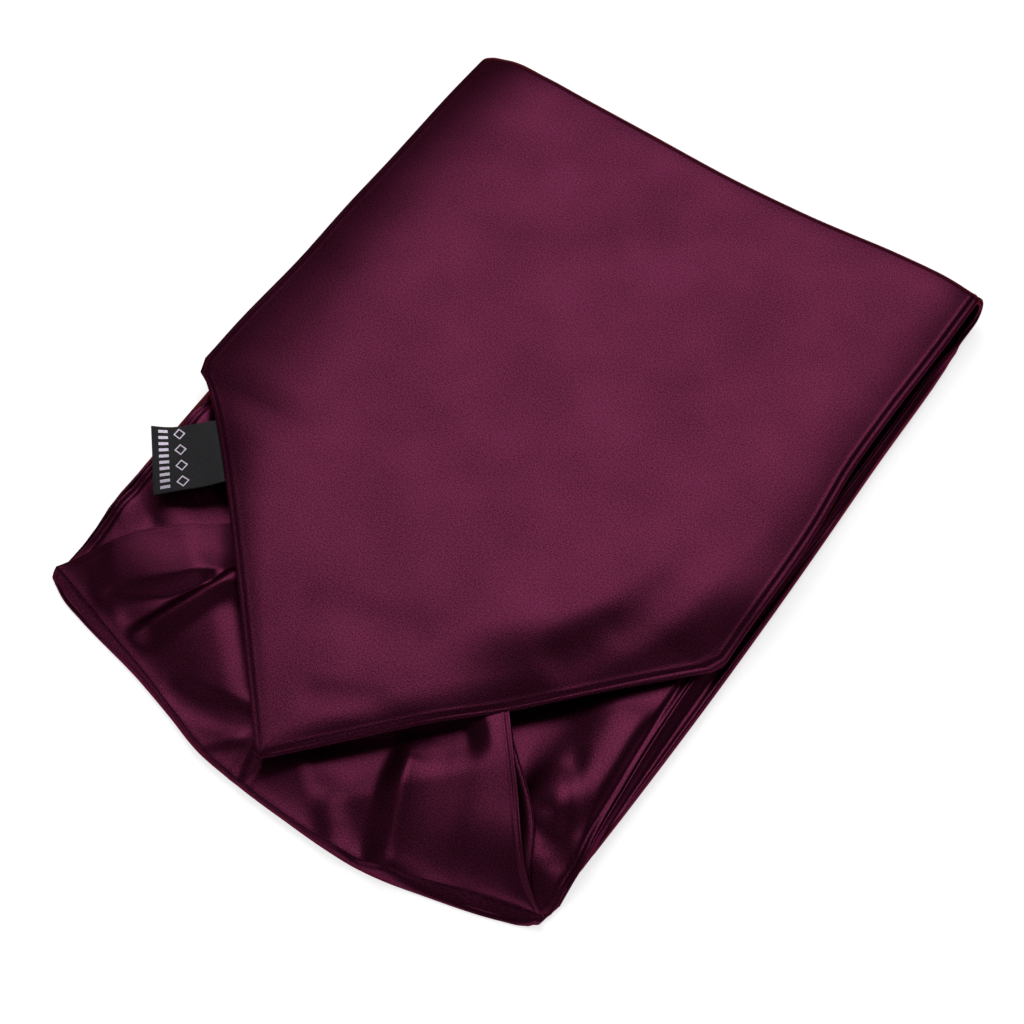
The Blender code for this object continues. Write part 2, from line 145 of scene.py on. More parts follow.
UNDER_SECTIONS = [
    UnderSection(112.0, -77.5, 0.0, 0.1, 79.0, 0.0, 0.1),
    UnderSection(104.0, -77.0, 0.0, 0.3, 79.5, 0.0, 0.3),
    UnderSection(88.0, -76.2, 0.2, 0.9, 80.1, 0.0, 0.9),
    UnderSection(52.0, -75.8, 0.4, 1.0, 80.1, 0.0, 1.0),
    UnderSection(18.0, -75.5, 0.4, 1.0, 80.5, 1.2, 1.0),
    UnderSection(-26.0, -75.2, 0.3, 1.0, 80.4, 4.0, 1.0),
    UnderSection(-50.0, -74.4, 0.2, 0.9, 79.9, 2.6, 1.0),
    UnderSection(-66.0, -73.3, 0.0, 0.6, 79.4, 0.9, 1.0),
    UnderSection(-76.0, -72.6, 0.0, 0.2, 79.1, 0.3, 0.85),
    UnderSection(-88.0, -73.2, 0.0, 0.0, 79.0, 0.0, 0.3),
    UnderSection(-94.0, -74.0, 0.0, 0.0, 78.7, 0.0, 0.0),
    UnderSection(-98.0, -74.0, 0.0, 0.0, 77.4, 0.0, 0.0),
]
FanSection = namedtuple("FanSection", "share left left_y right right_y height")
FAN_SECTIONS = [
    FanSection(0.0, -73.7, -88.0, 78.0, -97.4, 2.6),
    FanSection(0.08, -71.0, -84.2, 73.6, -95.2, 3.9),
    FanSection(0.18, -67.5, -79.4, 67.5, -90.5, 5.3),
    FanSection(0.36, -60.6, -70.6, 55.5, -76.5, 6.8),
    FanSection(0.55, -48.0, -60.6, 42.0, -60.6, 7.2),
    FanSection(0.78, -33.0, -43.0, 27.0, -41.0, 7.2),
    FanSection(1.0, -26.0, -20.3, 19.0, -20.3, 7.0),
]


# %% Reading a table smoothly
def column(rows, along, value, unit=MM):
    """A function that runs smoothly through one column of a table, read along another."""
    ordered = sorted(rows, key=lambda row: getattr(row, along))
    knots = [getattr(row, along) for row in ordered]
    values = [getattr(row, value) for row in ordered]
    slopes = list(np.gradient(values, knots))

    def read(at):
        at = min(max(at, knots[0]), knots[-1])
        low = min(max(bisect.bisect_left(knots, at) - 1, 0), len(knots) - 2)
        step = knots[low + 1] - knots[low]
        f = (at - knots[low]) / step
        rise = values[low + 1] - values[low]
        leaving = (slopes[low] * step - rise) * f * (1 - f) ** 2
        arriving = (slopes[low + 1] * step - rise) * f**2 * (1 - f)
        return (values[low] + rise * f + leaving - arriving) * unit

    return read


far_front = column(FAR_FOLD, "x", "front")
far_depth = column(FAR_FOLD, "x", "depth")
near_front = column(NEAR_FOLD, "x", "front")
near_depth = column(NEAR_FOLD, "x", "depth")
near_height = column(NEAR_FOLD, "x", "height")
front_left = column(FRONT_SECTIONS, "y", "left")
front_right = column(FRONT_SECTIONS, "y", "right")
front_middle_z = column(FRONT_SECTIONS, "y", "middle_z")
under_edge = {-1: column(UNDER_SECTIONS, "y", "left"), 1: column(UNDER_SECTIONS, "y", "right")}
under_lean = {-1: column(UNDER_SECTIONS, "y", "left_lean"), 1: column(UNDER_SECTIONS, "y", "right_lean")}
under_curl = {
    -1: column(UNDER_SECTIONS, "y", "left_curl", 1.0),
    1: column(UNDER_SECTIONS, "y", "right_curl", 1.0),
}
fan_reads = [column(FAN_SECTIONS, "share", name) for name in ("left", "left_y", "right", "right_y", "height")]


def far_crest(x):
    return far_front(x / MM) - far_depth(x / MM)


def near_crest(x):
    return near_front(x / MM) + near_depth(x / MM)


print("the far fold begins at y =", round(far_crest(0.0) / MM, 1), "mm in the middle")

# %% [markdown]
# ## Creases
# Satin hardly ever lies flat. Each crease is one line in plan with a height, a width on each side and a
# bow, so a steep side and a soft side can differ, as in pressed silk. A cloth simulation would make
# creases too, but not these ones in these places, so they are listed one by one.

# %% Soft ridges and troughs
# height above zero is a ridge; left and right are its widths, looking from its start to its end;
# a crease with rise grows over that share of its length and one with open widens along it; keen is the
# power of a side that falls steeply from a sharp line, and 0 means a rounded one; past its ends a
# crease fades out over its last value
Crease = namedtuple(
    "Crease",
    "x0 y0 x1 y1 bow height left right rise open keen_left keen_right fade",
    defaults=(0.0, 0.0, 0.0, 0.0, 7.0),
)
FRONT_CREASES = [
    Crease(81.0, -23.0, 47.0, -57.0, 0.0, -3.3, 10.0, 23.0, 0.0, 0.0, 0.0, 0.0, 28.0),
    Crease(59.0, -15.0, 47.0, -43.0, 0.0, -0.6, 9.0, 9.0),
    Crease(62.0, 14.0, 54.0, -28.0, 0.0, -0.35, 9.0, 9.0),
    Crease(-12.0, -66.0, 14.0, -58.0, 0.0, -0.25, 9.0, 9.0),
    Crease(-30.0, -28.0, 10.0, -62.0, 0.0, -0.2, 16.0, 16.0),
    Crease(-10.0, 70.0, 20.0, 10.0, 0.0, 0.25, 24.0, 24.0),
    Crease(4.0, -84.0, 16.0, -78.0, 0.0, -0.25, 6.0, 6.0),
]
FAN_CREASES = [
    Crease(-35.3, -67.1, -57.3, -85.4, 1.7, 1.1, 7.5, 20.0, 0.25, 0.6, 1.2, 0.0),
    Crease(-35.3, -67.1, -48.5, -86.0, 0.0, -2.6, 6.5, 7.4, 0.2, 0.7, 1.2, 1.2),
    Crease(-34.4, -65.0, -44.0, -88.0, 0.4, 1.9, 9.0, 3.2, 0.0, 0.4, 0.0, 1.3),
    Crease(-20.0, -66.0, -5.0, -80.0, 0.0, -3.6, 9.0, 18.0),
    Crease(-52.0, -46.0, -34.0, -60.0, 0.0, -3.4, 8.0, 15.0),
    Crease(-25.0, -99.8, -7.0, -96.0, 0.0, -1.0, 5.5, 5.5),
    Crease(-13.5, -106.5, -7.0, -100.0, 0.0, 0.45, 3.5, 3.5),
    Crease(-3.6, -100.0, -1.2, -110.5, 0.0, -0.7, 1.8, 3.0),
    Crease(2.2, -104.0, 1.4, -111.0, 0.0, 0.35, 2.2, 2.0),
    Crease(14.0, -94.0, 36.0, -70.0, 0.0, -2.4, 10.0, 12.0),
    Crease(17.0, -99.0, 31.0, -112.0, 0.0, 0.8, 5.5, 5.5, 0.5),
    Crease(28.0, -76.0, 41.0, -106.0, -0.5, 2.3, 11.0, 8.5, 0.25, 0.3, 1.7, 0.0),
    Crease(44.0, -66.0, 58.0, -100.0, 0.0, 0.5, 9.0, 7.0),
]
BACKING_CREASES = [
    Crease(69.5, -48.0, 70.8, -66.0, 0.0, 2.2, 6.0, 16.0, 0.0, 0.0, 0.0, 0.0, 12.0),
    Crease(61.0, -75.0, 67.0, -74.0, 0.0, 2.0, 14.0, 7.0, 0.0, 0.0, 0.0, 0.0, 6.0),
    Crease(63.5, -63.0, 68.0, -69.0, 0.0, -1.0, 3.5, 3.5),
    Crease(65.0, -79.5, 73.0, -83.0, 0.0, -0.9, 3.5, 3.0),
    Crease(66.0, -87.0, 74.0, -91.5, 0.0, 0.8, 3.5, 3.0),
    Crease(-72.0, -60.0, -60.0, -66.0, 0.0, -1.0, 5.0, 4.0),
    Crease(-69.0, -47.0, -60.0, -62.0, 0.0, 1.0, 8.0, 5.0),
    Crease(-71.0, -34.0, -58.0, -48.0, 0.0, 2.4, 10.0, 11.0),
]


def bump(distance, half_width):
    """1 on the line, falling smoothly to 0 at half_width."""
    return 0.5 + 0.5 * math.cos(math.pi * min(abs(distance) / half_width, 1.0))


def relief(creases, x, y):
    """The height that a table of creases adds at a place in plan."""
    total = 0.0
    for crease in creases:
        ax, ay = crease.x0 * MM, crease.y0 * MM
        dx, dy = crease.x1 * MM - ax, crease.y1 * MM - ay
        length = math.hypot(dx, dy)
        along = ((x - ax) * dx + (y - ay) * dy) / length
        to_left = ((y - ay) * dx - (x - ax) * dy) / length
        share = min(max(along / length, 0.0), 1.0)
        to_left -= crease.bow * MM * 4 * share * (1 - share)
        half_width = (crease.left if to_left > 0 else crease.right) * MM
        half_width *= 1 - crease.open * (1 - share)
        past = max(-along, along - length, 0.0)
        fade = bump(past, min(2 * max(crease.left, crease.right), crease.fade) * MM)
        if crease.rise:
            fade *= min(share / crease.rise, 1.0)
        shape = bump(to_left, half_width)
        keen = crease.keen_left if to_left > 0 else crease.keen_right
        if keen:
            shape = max(1 - abs(to_left) / half_width, 0.0) ** keen
        total += crease.height * MM * shape * fade
    return total


def undulation(x, y, size, height):
    """Slight unevenness of cloth, the same each run."""
    return height * noise.noise(Vector((x / size, y / size, 0.0)))


print(len(FRONT_CREASES) + len(FAN_CREASES) + len(BACKING_CREASES), "creases placed")

# %% [markdown]
# ## The shape of each stretch
# One function gives a point of the outside of the cloth for each stretch: the blade on top, the far
# fold, the stretch that lies on the table with its edges rolled up, the near fold and the fan. Because
# they share their ends, a single sheet can run through all of them with no join.

# %% The blade on top
# how far each edge of the blade rolls down, and over what width, in millimetres
EdgeRoll = namedtuple("EdgeRoll", "y left_drop left_width right_drop right_width")
EDGE_ROLLS = [
    EdgeRoll(112.0, 5.2, 26.0, 1.6, 13.0),
    EdgeRoll(90.0, 4.8, 27.0, 1.9, 15.0),
    EdgeRoll(60.0, 4.6, 29.0, 2.2, 18.0),
    EdgeRoll(10.0, 4.4, 32.0, 2.3, 20.0),
    EdgeRoll(-12.0, 4.3, 33.0, 2.7, 27.0),
    EdgeRoll(-24.0, 4.0, 31.0, 1.9, 22.0),
    EdgeRoll(-33.0, 2.6, 17.0, 1.3, 14.0),
    EdgeRoll(-48.0, 1.3, 10.0, 1.2, 9.0),
    EdgeRoll(-66.0, 0.7, 7.0, 1.5, 9.0),
    EdgeRoll(-90.0, 0.4, 5.0, 1.4, 7.0),
    EdgeRoll(-104.0, 0.2, 4.0, 0.5, 4.0),
]
roll_drop = {-1: column(EDGE_ROLLS, "y", "left_drop"), 1: column(EDGE_ROLLS, "y", "right_drop")}
roll_width = {-1: column(EDGE_ROLLS, "y", "left_width"), 1: column(EDGE_ROLLS, "y", "right_width")}


def front_height(share, y):
    side = 1 if share > 0 else -1
    from_edge = (1 - abs(share)) * front_half_width(y)
    if y < SHOULDER_Y:
        from_edge /= math.sqrt(2)
    rolled = max(1 - from_edge / roll_width[side](y / MM), 0.0)
    return front_middle_z(y / MM) - roll_drop[side](y / MM) * rolled**2


def front_half_width(y):
    """Half the width of the blade, narrowing to its point."""
    if y >= SHOULDER_Y:
        return 0.5 * (front_right(y / MM) - front_left(y / MM))
    down = (SHOULDER_Y - y) / (SHOULDER_Y - TIP_Y)
    return HALF_WIDTH + (TIP_HALF_WIDTH - HALF_WIDTH) * down


def front_top(share, y, inset):
    """A point on the top of the blade, whose edge is held in by inset."""
    middle = 0.5 * (front_right(y / MM) + front_left(y / MM))
    half = front_half_width(y) - inset
    bow = 0.0
    if y < SHOULDER_Y:
        down = (SHOULDER_Y - y) / (SHOULDER_Y - TIP_Y)
        at_shoulder = 0.5 * (front_right(SHOULDER_Y / MM) + front_left(SHOULDER_Y / MM))
        middle = at_shoulder * (1 - down) + TIP_X * down
        half = max(front_half_width(y) - inset * math.sqrt(2), TIP_HALF_WIDTH / 4)
        bow = LEFT_BOW * math.sin(math.pi * math.sqrt(down)) * max(-share, 0.0)
    x = middle + share * half + bow
    z = front_height(share, y) + relief(FRONT_CREASES, x, y) + undulation(x, y, 26 * MM, 0.22 * MM)
    return x, y, z


# %% The stretch on the table
ROLL = 2.55 * MM  # radius of the rolled edge
ROLL_TURN = math.radians(160)
ROLL_SHARE = 0.1
ROLL_WIDEST = 0.56
FLATTEST_CURL = 0.01
LEAN_DIP = 1.3 * MM  # the leaning part sags before it reaches the seam


def under_outer(share, y):
    side = 1 if share > 0 else -1
    stands_out = side * under_edge[side](y / MM)
    lean = under_lean[side](y / MM)
    curl = min(max(under_curl[side](y / MM), FLATTEST_CURL), 1.0)
    turn, radius = ROLL_TURN * curl, ROLL / curl
    flat = stands_out - radius * math.sin(min(turn, math.pi / 2))
    away = abs(share)
    if away <= 1 - ROLL_SHARE:
        return side * flat * away / (1 - ROLL_SHARE), y, 0.0
    rolled = (away - 1 + ROLL_SHARE) / ROLL_SHARE
    over = max(rolled - ROLL_WIDEST, 0.0) / (1 - ROLL_WIDEST)
    x = flat + radius * math.sin(turn * rolled) - lean * over * over
    dip = LEAN_DIP * min(lean / (2 * MM), 1.0) * bump(rolled - 0.86, 0.16)
    return side * x, y, radius * (1 - math.cos(turn * rolled)) - dip


# %% The fan
PRESSED_PLIES = 0.95 * MM  # the two plies where the near fold is pressed thin
PRESSED_FOR = 16.0 * MM
FOLD_BLEND = 14.0 * MM  # length over which the backing leaves and rejoins the inside of the face
CLEAR = 0.15 * MM
SOFT_FLOOR = 0.6 * MM  # how softly the fan settles on what is below it


def fan_place(share, up):
    """A point in plan on the fan, from the near fold at 0 to the neck at 1, and its height."""
    left, left_y, right, right_y, height = [read(up) for read in fan_reads]
    foot_left, foot_right = fan_reads[0](0.0), fan_reads[2](0.0)
    foot_x = foot_left + (foot_right - foot_left) * (share + 1) / 2
    crest = near_crest(foot_x)
    x = left + (right - left) * (share + 1) / 2
    y = crest + (NECK_Y - crest) * up
    straight_y = left_y + (right_y - left_y) * (share + 1) / 2
    y += (straight_y - y) * abs(share) ** 3 * (1 - up) ** 0.5
    height += (near_height(foot_x / MM) - height) * (1 - up) ** 10
    return x, y, height


def plies_from(near):
    """Thickness of two plies at a distance from the near fold, where they are pressed thin."""
    return TWO_PLIES + (PRESSED_PLIES - TWO_PLIES) * bump(near, PRESSED_FOR)


def fan_floor(x, y, foot_x):
    """The lowest that the fan can lie, on the cloth below it."""
    near = y - near_crest(foot_x)
    folds = max(relief(BACKING_CREASES, x, y), 0.0) * (1 - bump(near, FOLD_BLEND))
    return 2 * plies_from(near) + folds + CLEAR


def fan_top(share, up):
    x, y, height = fan_place(share, up)
    foot_left, foot_right = fan_reads[0](0.0), fan_reads[2](0.0)
    height += relief(FAN_CREASES, x, y) + undulation(x, y, 14 * MM, 0.25 * MM)
    lowest = fan_floor(x, y, foot_left + (foot_right - foot_left) * (share + 1) / 2)
    above = height - lowest
    return x, y, lowest + 0.5 * (above + math.sqrt(above * above + SOFT_FLOOR**2))


# %% Going round a fold
def round_fold(start, end, reach, turn):
    """A point on the half turn from start to end, which stands out by reach along Y."""
    share = 0.5 - 0.5 * math.cos(turn)
    x = start[0] + (end[0] - start[0]) * share
    y = start[1] + (end[1] - start[1]) * share
    z = start[2] + (end[2] - start[2]) * share
    return x, y + reach * math.sin(turn), z


# %% [markdown]
# ## One sheet through all the stretches
# The sheet is a grid whose rows run from the tip of the point, over the far fold, along the table, over
# the near fold and up the fan. Rows and columns are closer together where the cloth turns sharply.

# %% Rows and columns of the sheet
Stretch = namedtuple("Stretch", "name rows")
FACE_ROWS = [
    Stretch("point", 46), Stretch("body", 30), Stretch("far", 14),
    Stretch("under", 36), Stretch("near", 16), Stretch("fan", 92),
]
BACKING_ROWS = [
    Stretch("point", 48), Stretch("body", 40), Stretch("far", 12),
    Stretch("under", 70), Stretch("near", 10), Stretch("fan", 44),
]


def row_places(stretches):
    """Each row's stretch and its place along it, from 0 to 1. Neighbouring stretches share a row."""
    places = [(stretches[0].name, 0.0)]
    for stretch in stretches:
        places += [(stretch.name, (row + 1) / stretch.rows) for row in range(stretch.rows)]
    return places


def shares_across(near_edge, flat_columns):
    """Column places from -1 to 1. near_edge lists places, in millimetres from each edge."""
    half = [1 - place * MM / HALF_WIDTH for place in near_edge]
    inner = half[-1]
    half += [inner * (1 - k / flat_columns) for k in range(1, flat_columns)]
    return [-share for share in half] + [0.0] + half[::-1]


def face_point(stretch, along, share, inset):
    """A point on the outside of the face of the cravat."""
    if stretch == "point":
        return front_top(share, TIP_Y + inset + (SHOULDER_Y - TIP_Y - inset) * along, inset)
    x_guess = share * HALF_WIDTH
    crest = far_crest(x_guess)
    if stretch == "body":
        return front_top(share, SHOULDER_Y + (crest - SHOULDER_Y) * along, inset)
    if stretch == "far":
        start, end = front_top(share, crest, inset), under_outer(share, crest)
        return round_fold(start, end, far_depth(x_guess / MM), math.pi * along)
    foot_left, foot_right = fan_reads[0](0.0), fan_reads[2](0.0)
    foot_x = foot_left + (foot_right - foot_left) * (share + 1) / 2
    near = near_crest(foot_x)
    if stretch == "under":
        return under_outer(share, crest + (near - crest) * along)
    if stretch == "near":
        start, end = under_outer(share, near), fan_top(share, 0.0)
        return round_fold(start, end, -near_depth(foot_x / MM), math.pi * along)
    return fan_top(share, along)


print(len(row_places(FACE_ROWS)), "rows in the face of the cravat")

# %% [markdown]
# ## Turned edges
# Where the bag of cloth is turned right side out, each ply bends in at the seam, and a pressed edge
# shows as two fine rounded lips with a groove between them. A bevel would need clear space on both
# sides of the edge, so the lips are extra rows of the grid, bent round a small radius, and the seam
# allowance inside raises the cloth a little next to them.

# %% Lips along an edge of the sheet
LIP = 0.42 * MM  # radius of the turned edge of one ply
LIP_STEPS = 6
LIP_TURN = math.radians(165)
SEAM_RIDGE = 0.10 * MM  # where the seam allowance inside ends
SEAM_RIDGE_AT, SEAM_RIDGE_HALF = 1.95 * MM, 0.7 * MM
GROOVE = 0.08 * MM  # pressed in between the ridge and the edge
GROOVE_AT, GROOVE_HALF = 0.95 * MM, 0.6 * MM
LEFT_PRESSED = 0.35  # the left edges are pressed less than the right


def normals_of(points):
    """Unit normals of a grid of points, out of the face of the cloth."""
    across = np.gradient(points, axis=1)
    along = np.gradient(points, axis=0)
    normals = np.cross(across, along)
    return normals / np.maximum(np.linalg.norm(normals, axis=2, keepdims=True), 1e-12)


def unit(vectors):
    return vectors / np.maximum(np.linalg.norm(vectors, axis=-1, keepdims=True), 1e-12)


def edge_relief(distance, side):
    """How much the seam raises the cloth at a distance from its edge."""
    ridge = SEAM_RIDGE * bump(distance - SEAM_RIDGE_AT, SEAM_RIDGE_HALF)
    groove = GROOVE * bump(distance - GROOVE_AT, GROOVE_HALF)
    return (ridge - groove) * (1.0 if side > 0 else LEFT_PRESSED)


def with_lips(points, normals, inwards):
    """The grid with turned edges on its two long sides and across its first row."""
    rows, columns = points.shape[:2]
    steps = LIP_STEPS
    grown = np.zeros((rows + steps, columns + 2 * steps, 3))
    grown[steps:, steps:-steps] = points
    left = unit(points[:, 0] - points[:, 1])
    right = unit(points[:, -1] - points[:, -2])
    first = unit(points[0] - points[1])
    turn_in = normals * inwards
    for step in range(1, steps + 1):
        turn = LIP_TURN * step / steps
        out, down = LIP * math.sin(turn), LIP * (1 - math.cos(turn))
        grown[steps:, steps - step] = points[:, 0] + left * out + turn_in[:, 0] * down
        grown[steps:, steps + columns - 1 + step] = points[:, -1] + right * out + turn_in[:, -1] * down
        grown[steps - step, steps:-steps] = points[0] + first * out + turn_in[0] * down
    for side, corner, outwards in ((0, 0, left[0]), (1, columns - 1, right[0])):
        for a in range(1, steps + 1):
            for b in range(1, steps + 1):
                turn = LIP_TURN * max(a, b) / steps
                direction = unit(first[corner] * a + outwards * b)
                place = points[0, corner] + direction * LIP * math.sin(turn)
                place = place + turn_in[0, corner] * LIP * (1 - math.cos(turn))
                grown[steps - a, steps - b if side == 0 else steps + columns - 1 + b] = place
    return grown


def sheet_from_grid(name, points, wall, flip):
    """A mesh of one grid operator whose points go to their places, with a wall and its own UV map."""
    rows, columns = points.shape[0] - 1, points.shape[1] - 1
    shape = bmesh.new()
    bmesh.ops.create_grid(shape, x_segments=columns, y_segments=rows, size=1.0)
    steps_along = np.linalg.norm(np.diff(points[:, columns // 2], axis=0), axis=1)
    lengths = np.concatenate([[0.0], np.cumsum(steps_along)])
    steps_across = np.linalg.norm(np.diff(points, axis=1), axis=2)
    widths = np.concatenate([np.zeros((rows + 1, 1)), np.cumsum(steps_across, axis=1)], axis=1)
    widths -= widths[:, columns // 2][:, None]
    grid_uv = shape.loops.layers.uv.new("cloth")
    places = {}
    for vert in shape.verts:
        i = round((vert.co.x + 1) / 2 * columns)
        j = round((vert.co.y + 1) / 2 * rows)
        places[vert.index] = (widths[j, i], lengths[j])
        vert.co = points[j, i]
    for face in shape.faces:
        for loop in face.loops:
            loop[grid_uv].uv = places[loop.vert.index]
    if flip:
        bmesh.ops.reverse_faces(shape, faces=shape.faces)
    mesh = bpy.data.meshes.new(name)
    shape.to_mesh(mesh)
    shape.free()
    mesh.shade_smooth()
    piece = bpy.data.objects.new(name, mesh)
    bpy.context.scene.collection.objects.link(piece)
    thick = piece.modifiers.new("wall", "SOLIDIFY")
    thick.thickness = wall
    thick.offset = -1.0
    return piece, lengths[-1]


# %% [markdown]
# ## The face of the cravat
# On the real cravat the face is one long piece of satin. It could be modelled as three panels that meet
# under the folds, but then light would catch the joins, so it is one sheet.

# %% Face
PLY = 0.4 * MM
FACE_NEAR_EDGE = [0.0, 0.25, 0.5, 0.75, 1.0, 1.25, 1.5, 1.75, 2.0, 2.25, 2.5, 2.9, 3.5, 4.2, 5.0, 6.0, 7.0, 8.0]
face_shares = shares_across(FACE_NEAR_EDGE, 70)
face_places = row_places(FACE_ROWS)
face_core = np.array([
    [face_point(stretch, along, share, LIP) for share in face_shares]
    for stretch, along in face_places
])
face_normals = normals_of(face_core)


def edge_distance(stretch, along, share):
    """How far a place on the cloth is from its seam, measured on the cloth."""
    if stretch == "point":
        y = TIP_Y + (SHOULDER_Y - TIP_Y) * along
        return (1 - abs(share)) * front_half_width(y) / math.sqrt(2)
    if stretch == "fan":
        left, _, right, _, _ = [read(along) for read in fan_reads]
        return (1 - abs(share)) * (right - left) / 2
    return (1 - abs(share)) * HALF_WIDTH


raised = np.array([
    [edge_relief(edge_distance(stretch, along, share), share) for share in face_shares]
    for stretch, along in face_places
])
face_skin = face_core + face_normals * raised[:, :, None]
face, face_length = sheet_from_grid("silk_face", with_lips(face_skin, normals_of(face_skin), -1), PLY, False)
print("face of the cravat:", round(face_length / MM), "mm long,", len(face.data.polygons), "faces before its wall")

# %% [markdown]
# ## The backing
# The backing follows the inside of the face, two plies further in. Only where the band lies on the table
# does it go its own way: it comes down from the two seams and rests on the face between them.

# %% Backing
THIN_WALL = 0.45 * MM
SEAM_INSET = 0.95 * MM  # from the face's edge to the backing's edge, lips included
LIP_DEPTH = 0.95 * MM
SEAM_GAP = 0.3 * MM
INNER_FLAT = {-1: 0.0, 1: 9.0 * MM}  # the backing stays up beside the right seam
INNER_SLOPE = {-1: 15.0 * MM, 1: 18.0 * MM}  # width over which it then comes down
SEAM_DIP, SEAM_DIP_AT = 0.5 * MM, 1.3 * MM  # the groove that runs beside the seam
CREASE_FADE = 12.0 * MM
HIDDEN_NEAR = -20.0 * MM
SLIVER_OUT = 4.0 * MM  # how far the backing shows beside the right edge of the fan
SLIVER_DIP = 1.3 * MM
LOWEST_BACKING = PLY + THIN_WALL
SLIVER_FROM, SLIVER_TO = 0.10, 0.52  # along the fan


def under_seam(side, y):
    """Where the backing meets the rolled edge, and its height there."""
    x, _, z = under_outer(side, y)
    curl = min(max(under_curl[side](y / MM), FLATTEST_CURL), 1.0)
    turn, radius = ROLL_TURN * curl, ROLL / curl
    seam_x = abs(x) - SEAM_INSET
    bend = seam_x - abs(under_outer(side * (1 - ROLL_SHARE), y)[0])
    inside = min(max(bend, 0.0) / (radius - THIN_WALL), 1.0)
    wall_top = radius - (radius - THIN_WALL) * math.sqrt(1 - inside * inside)
    return seam_x, max(z - 0.1 * MM, min(wall_top, ROLL) + LIP_DEPTH)


def backing_on_table(share, y):
    side = 1 if share > 0 else -1
    seam_x, seam_z = under_seam(side, y)
    inward = max(seam_x * (1 - abs(share)) - INNER_FLAT[side], 0.0)
    lifted = max(seam_z - TWO_PLIES, 0.0) * bump(inward, INNER_SLOPE[side])
    x = seam_x * share
    clear = 1 - bump(min(y - HIDDEN_NEAR, 0.0), CREASE_FADE)
    folds = relief(BACKING_CREASES, x, y) + undulation(x, y, 12 * MM, 0.3 * MM)
    dip = SEAM_DIP * bump(seam_x * (1 - abs(share)) - SEAM_DIP_AT, SEAM_DIP_AT)
    return x, y, max(TWO_PLIES + lifted + folds * clear - dip, TWO_PLIES)


BACKING_NEAR_EDGE = [0.0, 0.4, 0.8, 1.2, 1.6, 2.0, 2.5, 3.2, 4.0, 5.0, 6.2, 7.8]
backing_shares = shares_across(BACKING_NEAR_EDGE, 44)
backing_places = row_places(BACKING_ROWS)
inner_core = np.array([
    [face_point(stretch, along, share, LIP) for share in backing_shares]
    for stretch, along in backing_places
])
from_near = np.abs(inner_core[:, :, 1] - np.array([near_crest(share * HALF_WIDTH) for share in backing_shares]))
plies = np.array([
    [plies_from(near) if stretch in ("under", "near", "fan") else TWO_PLIES for near in row]
    for (stretch, _), row in zip(backing_places, from_near)
])
backing_core = inner_core - normals_of(inner_core) * plies[:, :, None]
for row, (stretch, along) in enumerate(backing_places):
    for index, share in enumerate(backing_shares):
        if stretch == "under":
            y = inner_core[row, index, 1]
            start, end = far_crest(share * HALF_WIDTH), near_crest(share * HALF_WIDTH)
            weight = 1 - bump(min(start - y, y - end), FOLD_BLEND)
            own = np.array(backing_on_table(share, y))
            backing_core[row, index] += (own - backing_core[row, index]) * weight
        if stretch == "fan" and share > 0.5:
            out = bump(along - (SLIVER_FROM + SLIVER_TO) / 2, (SLIVER_TO - SLIVER_FROM) / 2)
            backing_core[row, index, 0] += SLIVER_OUT * out * ((share - 0.5) / 0.5) ** 2
            backing_core[row, index, 2] -= SLIVER_DIP * out * bump(share - 0.93, 0.06)
backing_core[:, :, 2] = np.maximum(backing_core[:, :, 2], LOWEST_BACKING)
backing_normals = normals_of(backing_core)
backing_grid = with_lips(backing_core, backing_normals, 1)
backing, backing_length = sheet_from_grid("silk_backing", backing_grid, PLY, True)
print("backing:", round(backing_length / MM), "mm long,", len(backing.data.polygons), "faces before its wall")

# %% [markdown]
# ## What is folded away
# The neckband and the second blade lie inside, folded back and forth. From the side their rounded turns
# show, so they are one sheet laid in a zigzag with a thick wall.

# %% Folded-away cloth
HIDDEN_LEFT, HIDDEN_RIGHT = -57.0 * MM, 60.0 * MM
HIDDEN_FAR = 98.0 * MM
HIDDEN_BOTTOM, HIDDEN_TOP = 2.75 * MM, 9.3 * MM
HIDDEN_LAYERS = 3
HIDDEN_WALL = 1.5 * MM
hidden_low, hidden_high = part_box("hidden_layers")
print("room for the folded-away cloth, mm:", [round((b - a) / MM, 1) for a, b in zip(hidden_low, hidden_high)])


def zigzag(layers, near, far, bottom, top, wall):
    """Places along Y and Z of a strip folded back and forth, by its middle."""
    step = (top - bottom - wall) / (layers - 1)
    places = []
    for layer in range(layers):
        z = bottom + wall / 2 + step * layer
        ends = (near, far) if layer % 2 == 0 else (far, near)
        turn_in = step / 2 + wall / 2
        sign = 1 if ends[1] > ends[0] else -1
        for k in range(25):
            places.append((ends[0] + sign * turn_in + (ends[1] - ends[0] - 2 * sign * turn_in) * k / 24, z))
        if layer < layers - 1:
            for k in range(1, 8):
                angle = math.pi * k / 8
                y = ends[1] - sign * turn_in + sign * step / 2 * math.sin(angle)
                places.append((y, z + step / 2 * (1 - math.cos(angle))))
    return places


